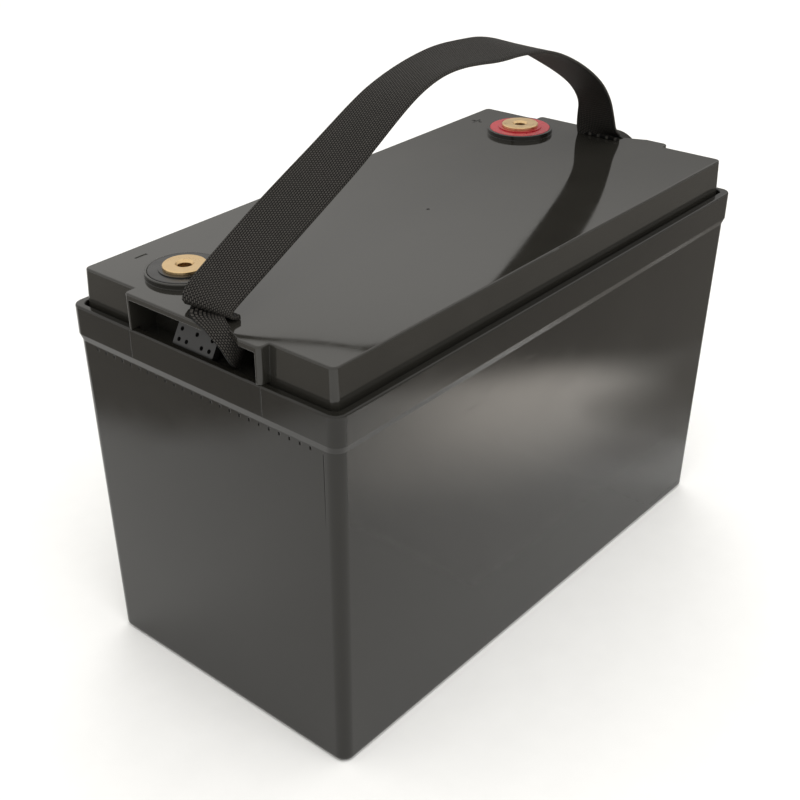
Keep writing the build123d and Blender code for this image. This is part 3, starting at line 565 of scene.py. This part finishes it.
# === Inside parts ===================================================================================
class BATTERY_OT_inside(bpy.types.Operator):
    """Cells, clamps, board, leads and wires inside the case"""

    bl_idname = "battery.inside"
    bl_label = "Inside parts"

    def execute(self, context):
        # shrink film over a drawn can: smooth, tight and glossy
        film = plain_finish("blue_shrink_film_on_aluminium", "#2f5f94", "#254d7c", 0.28, grain_mm=0.9,
                            patch_mm=30)
        give([f"cell_{n}" for n in (1, 2, 3, 4)], film)
        # pressed glass cloth and resin: pale green, with faint level streaks from the cloth
        laminate = plain_finish("pressed_glass_epoxy", "#a9b37a", "#8f9b63", 0.45, grain_mm=0.6,
                                stretch=(1, 1, 4))
        give(["cell_spacers", "insulation_board"], laminate)
        # milled plate: a soft shine drawn out along the cutter's passes
        milled = plain_finish("milled_aluminium", "#c9cccd", "#b2b6b8", 0.38, metallic=1.0, grain_mm=0.4,
                              stretch=(1, 6, 1))
        give(["end_plates", "board_heat_plate"], milled)
        # extruded band under tension: a waxy black shine
        band = plain_finish("extruded_polyester_band", "#2a2c2a", "#1c1e1c", 0.4, grain_mm=1.2)
        give(["compression_bands"], band)
        # split foam: dead matt, pitted where its cells were cut
        foam = plain_finish("closed_cell_eva_foam", "#3a3a3c", "#242426", 0.9, grain_mm=1.4, depth_mm=0.25)
        give(["base_foam", "foam_block_near", "foam_block_far"], foam)
        # nickel over copper: a warm grey shine that blurs what it mirrors
        nickel = plain_finish("nickel_plated_copper", "#d9cdbd", "#bfae98", 0.26, metallic=1.0, grain_mm=0.5)
        give(["busbars", "cable_lugs"], nickel)
        # zinc on small hardware: a little darker and duller than the big nuts, with a finer grain
        small_zinc = plain_finish("zinc_plated_steel_small", "#c8cccf", "#9fa6ad", 0.32, metallic=1.0,
                                  grain_mm=0.3)
        give(["busbar_nuts", "board_screws", "board_standoffs"], small_zinc)
        # solder mask sprayed and baked: a deep green, a little orange-peeled
        mask = plain_finish("solder_masked_board", "#1d5a3a", "#164a2f", 0.3, grain_mm=1.0, patch_mm=8,
                            depth_mm=0.02)
        give(["protection_board"], mask)
        # transfer-moulded epoxy: flat dark grey with a very fine grain
        epoxy = plain_finish("moulded_epoxy_package", "#202124", "#151618", 0.55, grain_mm=0.25)
        give(["power_transistors"], epoxy)
        # undyed nylon: milky and faintly yellow
        natural = plain_finish("natural_nylon", "#e6e2d2", "#d4cfbd", 0.42, grain_mm=0.6)
        give(["balance_socket", "balance_plug"], natural)
        # silicone jackets: soft and slightly dusty
        red_lead = plain_finish("red_silicone_jacket", "#b3232b", "#96191f", 0.5, grain_mm=0.8)
        give(["lead_positive"], red_lead)
        black_lead = plain_finish("black_silicone_jacket", "#222222", "#141414", 0.5, grain_mm=0.8)
        give(["lead_cell_negative", "lead_output_negative", "temperature_sensor"], black_lead)
        # thin PVC drawn over the wire: brighter and shinier than the leads
        wire = plain_finish("thin_red_pvc_jacket", "#c03a34", "#a12c28", 0.4, grain_mm=0.5)
        give(["balance_wires"], wire)
        return {"FINISHED"}


class BATTERY_PT_panel(bpy.types.Panel):
    """Lists every build step"""

    bl_label = "Battery Pack"
    bl_idname = "BATTERY_PT_panel"
    bl_space_type = "VIEW_3D"
    bl_region_type = "UI"
    bl_category = "Battery Pack"

    def draw(self, context):
        for step in STEPS:
            self.layout.operator(step.bl_idname)
        for settings in ("battery_stage", "battery_housing", "battery_strap"):
            group = getattr(context.scene, settings)
            for name in group.__annotations__:
                self.layout.prop(group, name)


STEPS = (BATTERY_OT_stage, BATTERY_OT_housing, BATTERY_OT_terminals, BATTERY_OT_strap, BATTERY_OT_inside)
CLASSES = (StageSettings, HousingSettings, StrapSettings, *STEPS, BATTERY_PT_panel)


def register():
    for cls in CLASSES:
        bpy.utils.register_class(cls)
    bpy.types.Scene.battery_stage = PointerProperty(type=StageSettings)
    bpy.types.Scene.battery_housing = PointerProperty(type=HousingSettings)
    bpy.types.Scene.battery_strap = PointerProperty(type=StrapSettings)


def unregister():
    del bpy.types.Scene.battery_strap
    del bpy.types.Scene.battery_housing
    del bpy.types.Scene.battery_stage
    for cls in reversed(CLASSES):
        bpy.utils.unregister_class(cls)


def main():
    register()
    bpy.ops.battery.stage()
    bpy.ops.battery.housing()
    bpy.ops.battery.terminals()
    bpy.ops.battery.strap()
    bpy.ops.battery.inside()


if __name__ == "__main__":
    main()
